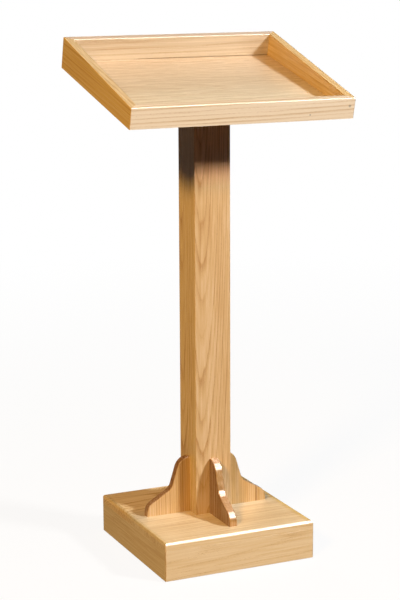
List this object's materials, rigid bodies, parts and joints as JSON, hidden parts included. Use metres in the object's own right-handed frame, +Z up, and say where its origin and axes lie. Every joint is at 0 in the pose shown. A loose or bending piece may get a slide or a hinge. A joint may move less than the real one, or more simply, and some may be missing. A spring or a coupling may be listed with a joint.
{
  "type": "lectern",
  "caption": "Free-standing wooden lectern: a sloping lipped reading tray on a square post, braced by ogee brackets on a low square base.",
  "frame": {"origin": "on the floor under the post's axis, midway between the four glides", "axes": "+X to the reader's right, +Y away from the reader, +Z up; the tray's low edge faces -Y"},
  "size_m": [0.509, 0.4035, 1.137],
  "materials": {
    "oak": "clear satin lacquer on straight and cathedral grained oak",
    "oak_floor": "clear satin lacquer on oak-veneered board",
    "softwood": "bare planed softwood",
    "beech": "bare dowel rod",
    "steel": "zinc plated",
    "nylon": "moulded nylon",
    "filler": "dry wood filler, sanded flush"
  },
  "bodies": {
    "root": {"base_top_panel": "oak", "base_front_rail": "oak", "base_right_rail": "oak", "base_back_rail": "oak", "base_left_rail": "oak", "glue_block_front_left": "softwood", "glue_block_front_right": "softwood", "glue_block_back_right": "softwood", "glue_block_back_left": "softwood", "glide_front_left": "nylon", "glide_front_right": "nylon", "glide_back_right": "nylon", "glide_back_left": "nylon", "glide_nails": "steel", "bolt_block": "softwood", "post_bolts": "steel", "post_washers": "steel", "post_front_board": "oak", "post_right_board": "oak", "post_back_board": "oak", "post_left_board": "oak", "post_foot_plug": "softwood", "post_head_plug": "softwood", "bracket_front": "oak", "bracket_right": "oak", "bracket_back": "oak", "bracket_left": "oak", "bracket_dowels": "beech", "bracket_screws": "steel", "mounting_plate": "softwood", "plate_screws": "steel", "tray_screws": "steel", "tray_floor": "oak_floor", "tray_front_rail": "oak", "tray_right_rail": "oak", "tray_back_rail": "oak", "tray_left_rail": "oak", "tray_pins": "steel", "tray_pin_fillers": "filler"}
  },
  "joints": []
}
